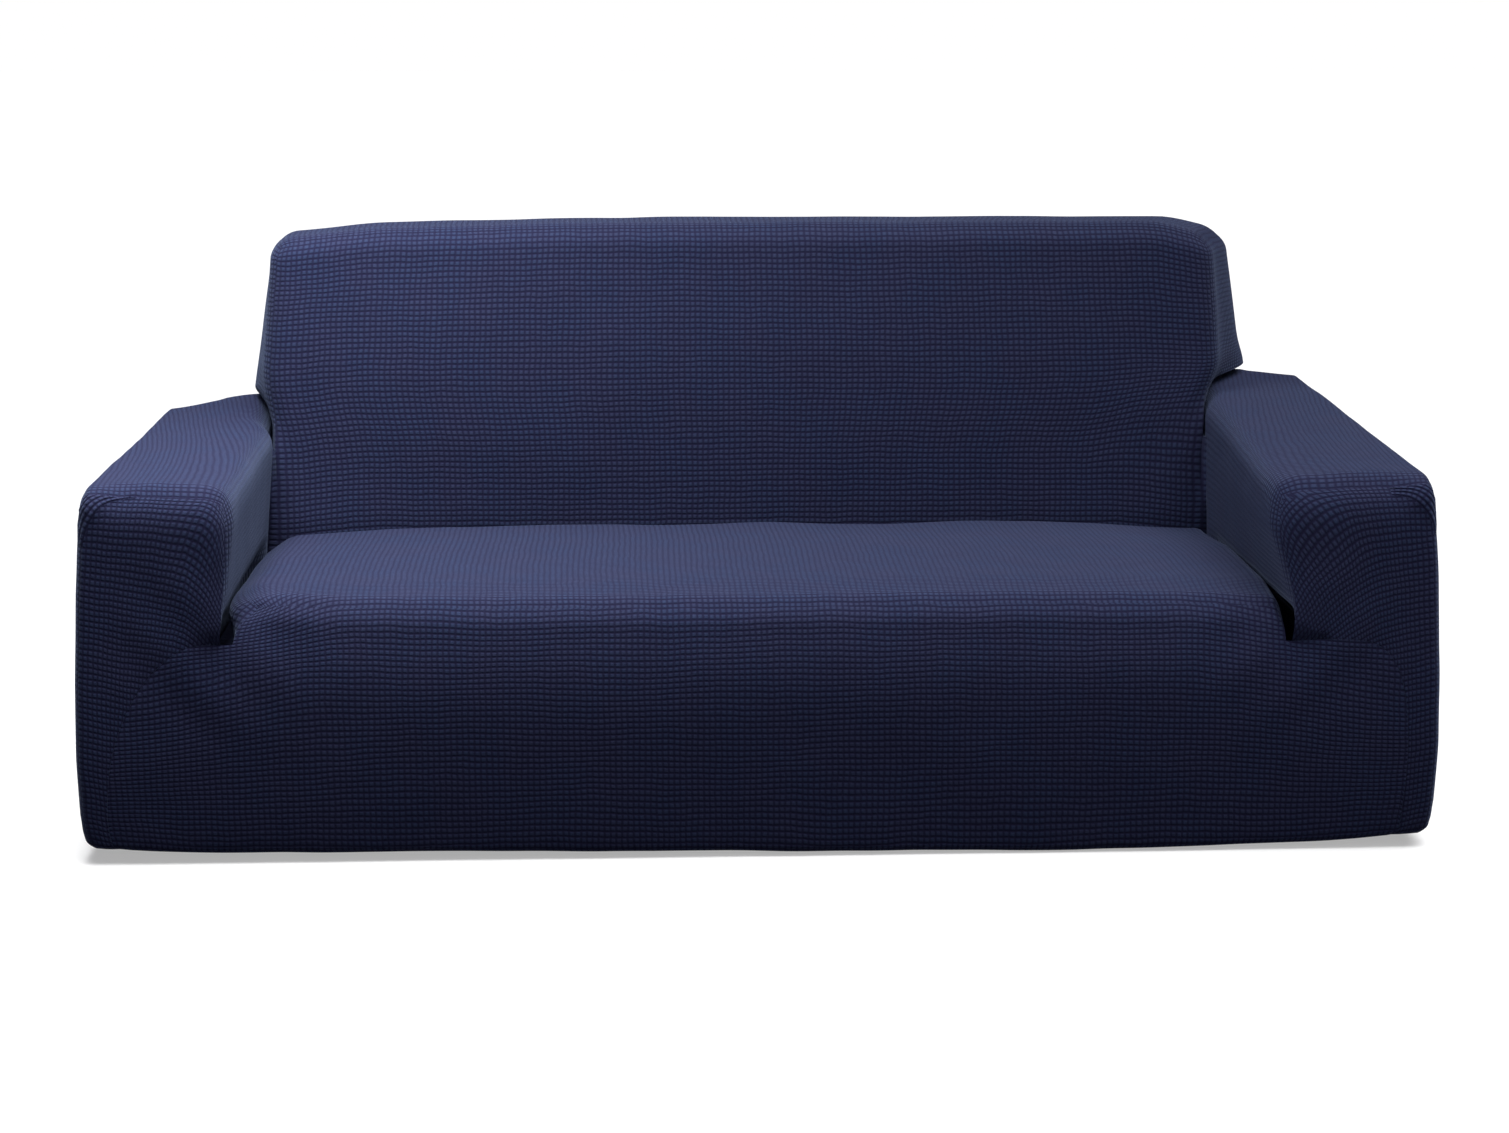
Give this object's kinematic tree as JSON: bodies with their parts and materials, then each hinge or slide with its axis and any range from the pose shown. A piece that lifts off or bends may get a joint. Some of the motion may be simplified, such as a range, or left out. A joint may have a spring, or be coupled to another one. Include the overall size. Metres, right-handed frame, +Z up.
{
  "type": "sofa slipcover",
  "caption": "Stretch slipcover in waffle knit, drawn over the arms, seat and back of a sofa, hollow and open underneath, with an elastic hem.",
  "frame": {"origin": "Under the cloth, midway along the top of the back, where the sofa's back carries the cover.", "axes": "+X to the right as seen from the front, +Y to the rear, +Z up."},
  "size_m": [1.8101, 0.8412, 0.7888],
  "materials": {
    "knit": "matt navy stretch knit with a small raised waffle cell of about 8 mm"
  },
  "bodies": {
    "root": {"seat_and_skirt": "knit", "inside_back": "knit", "outside_back": "knit", "arm_sleeve_left": "knit", "arm_sleeve_right": "knit"}
  },
  "joints": []
}
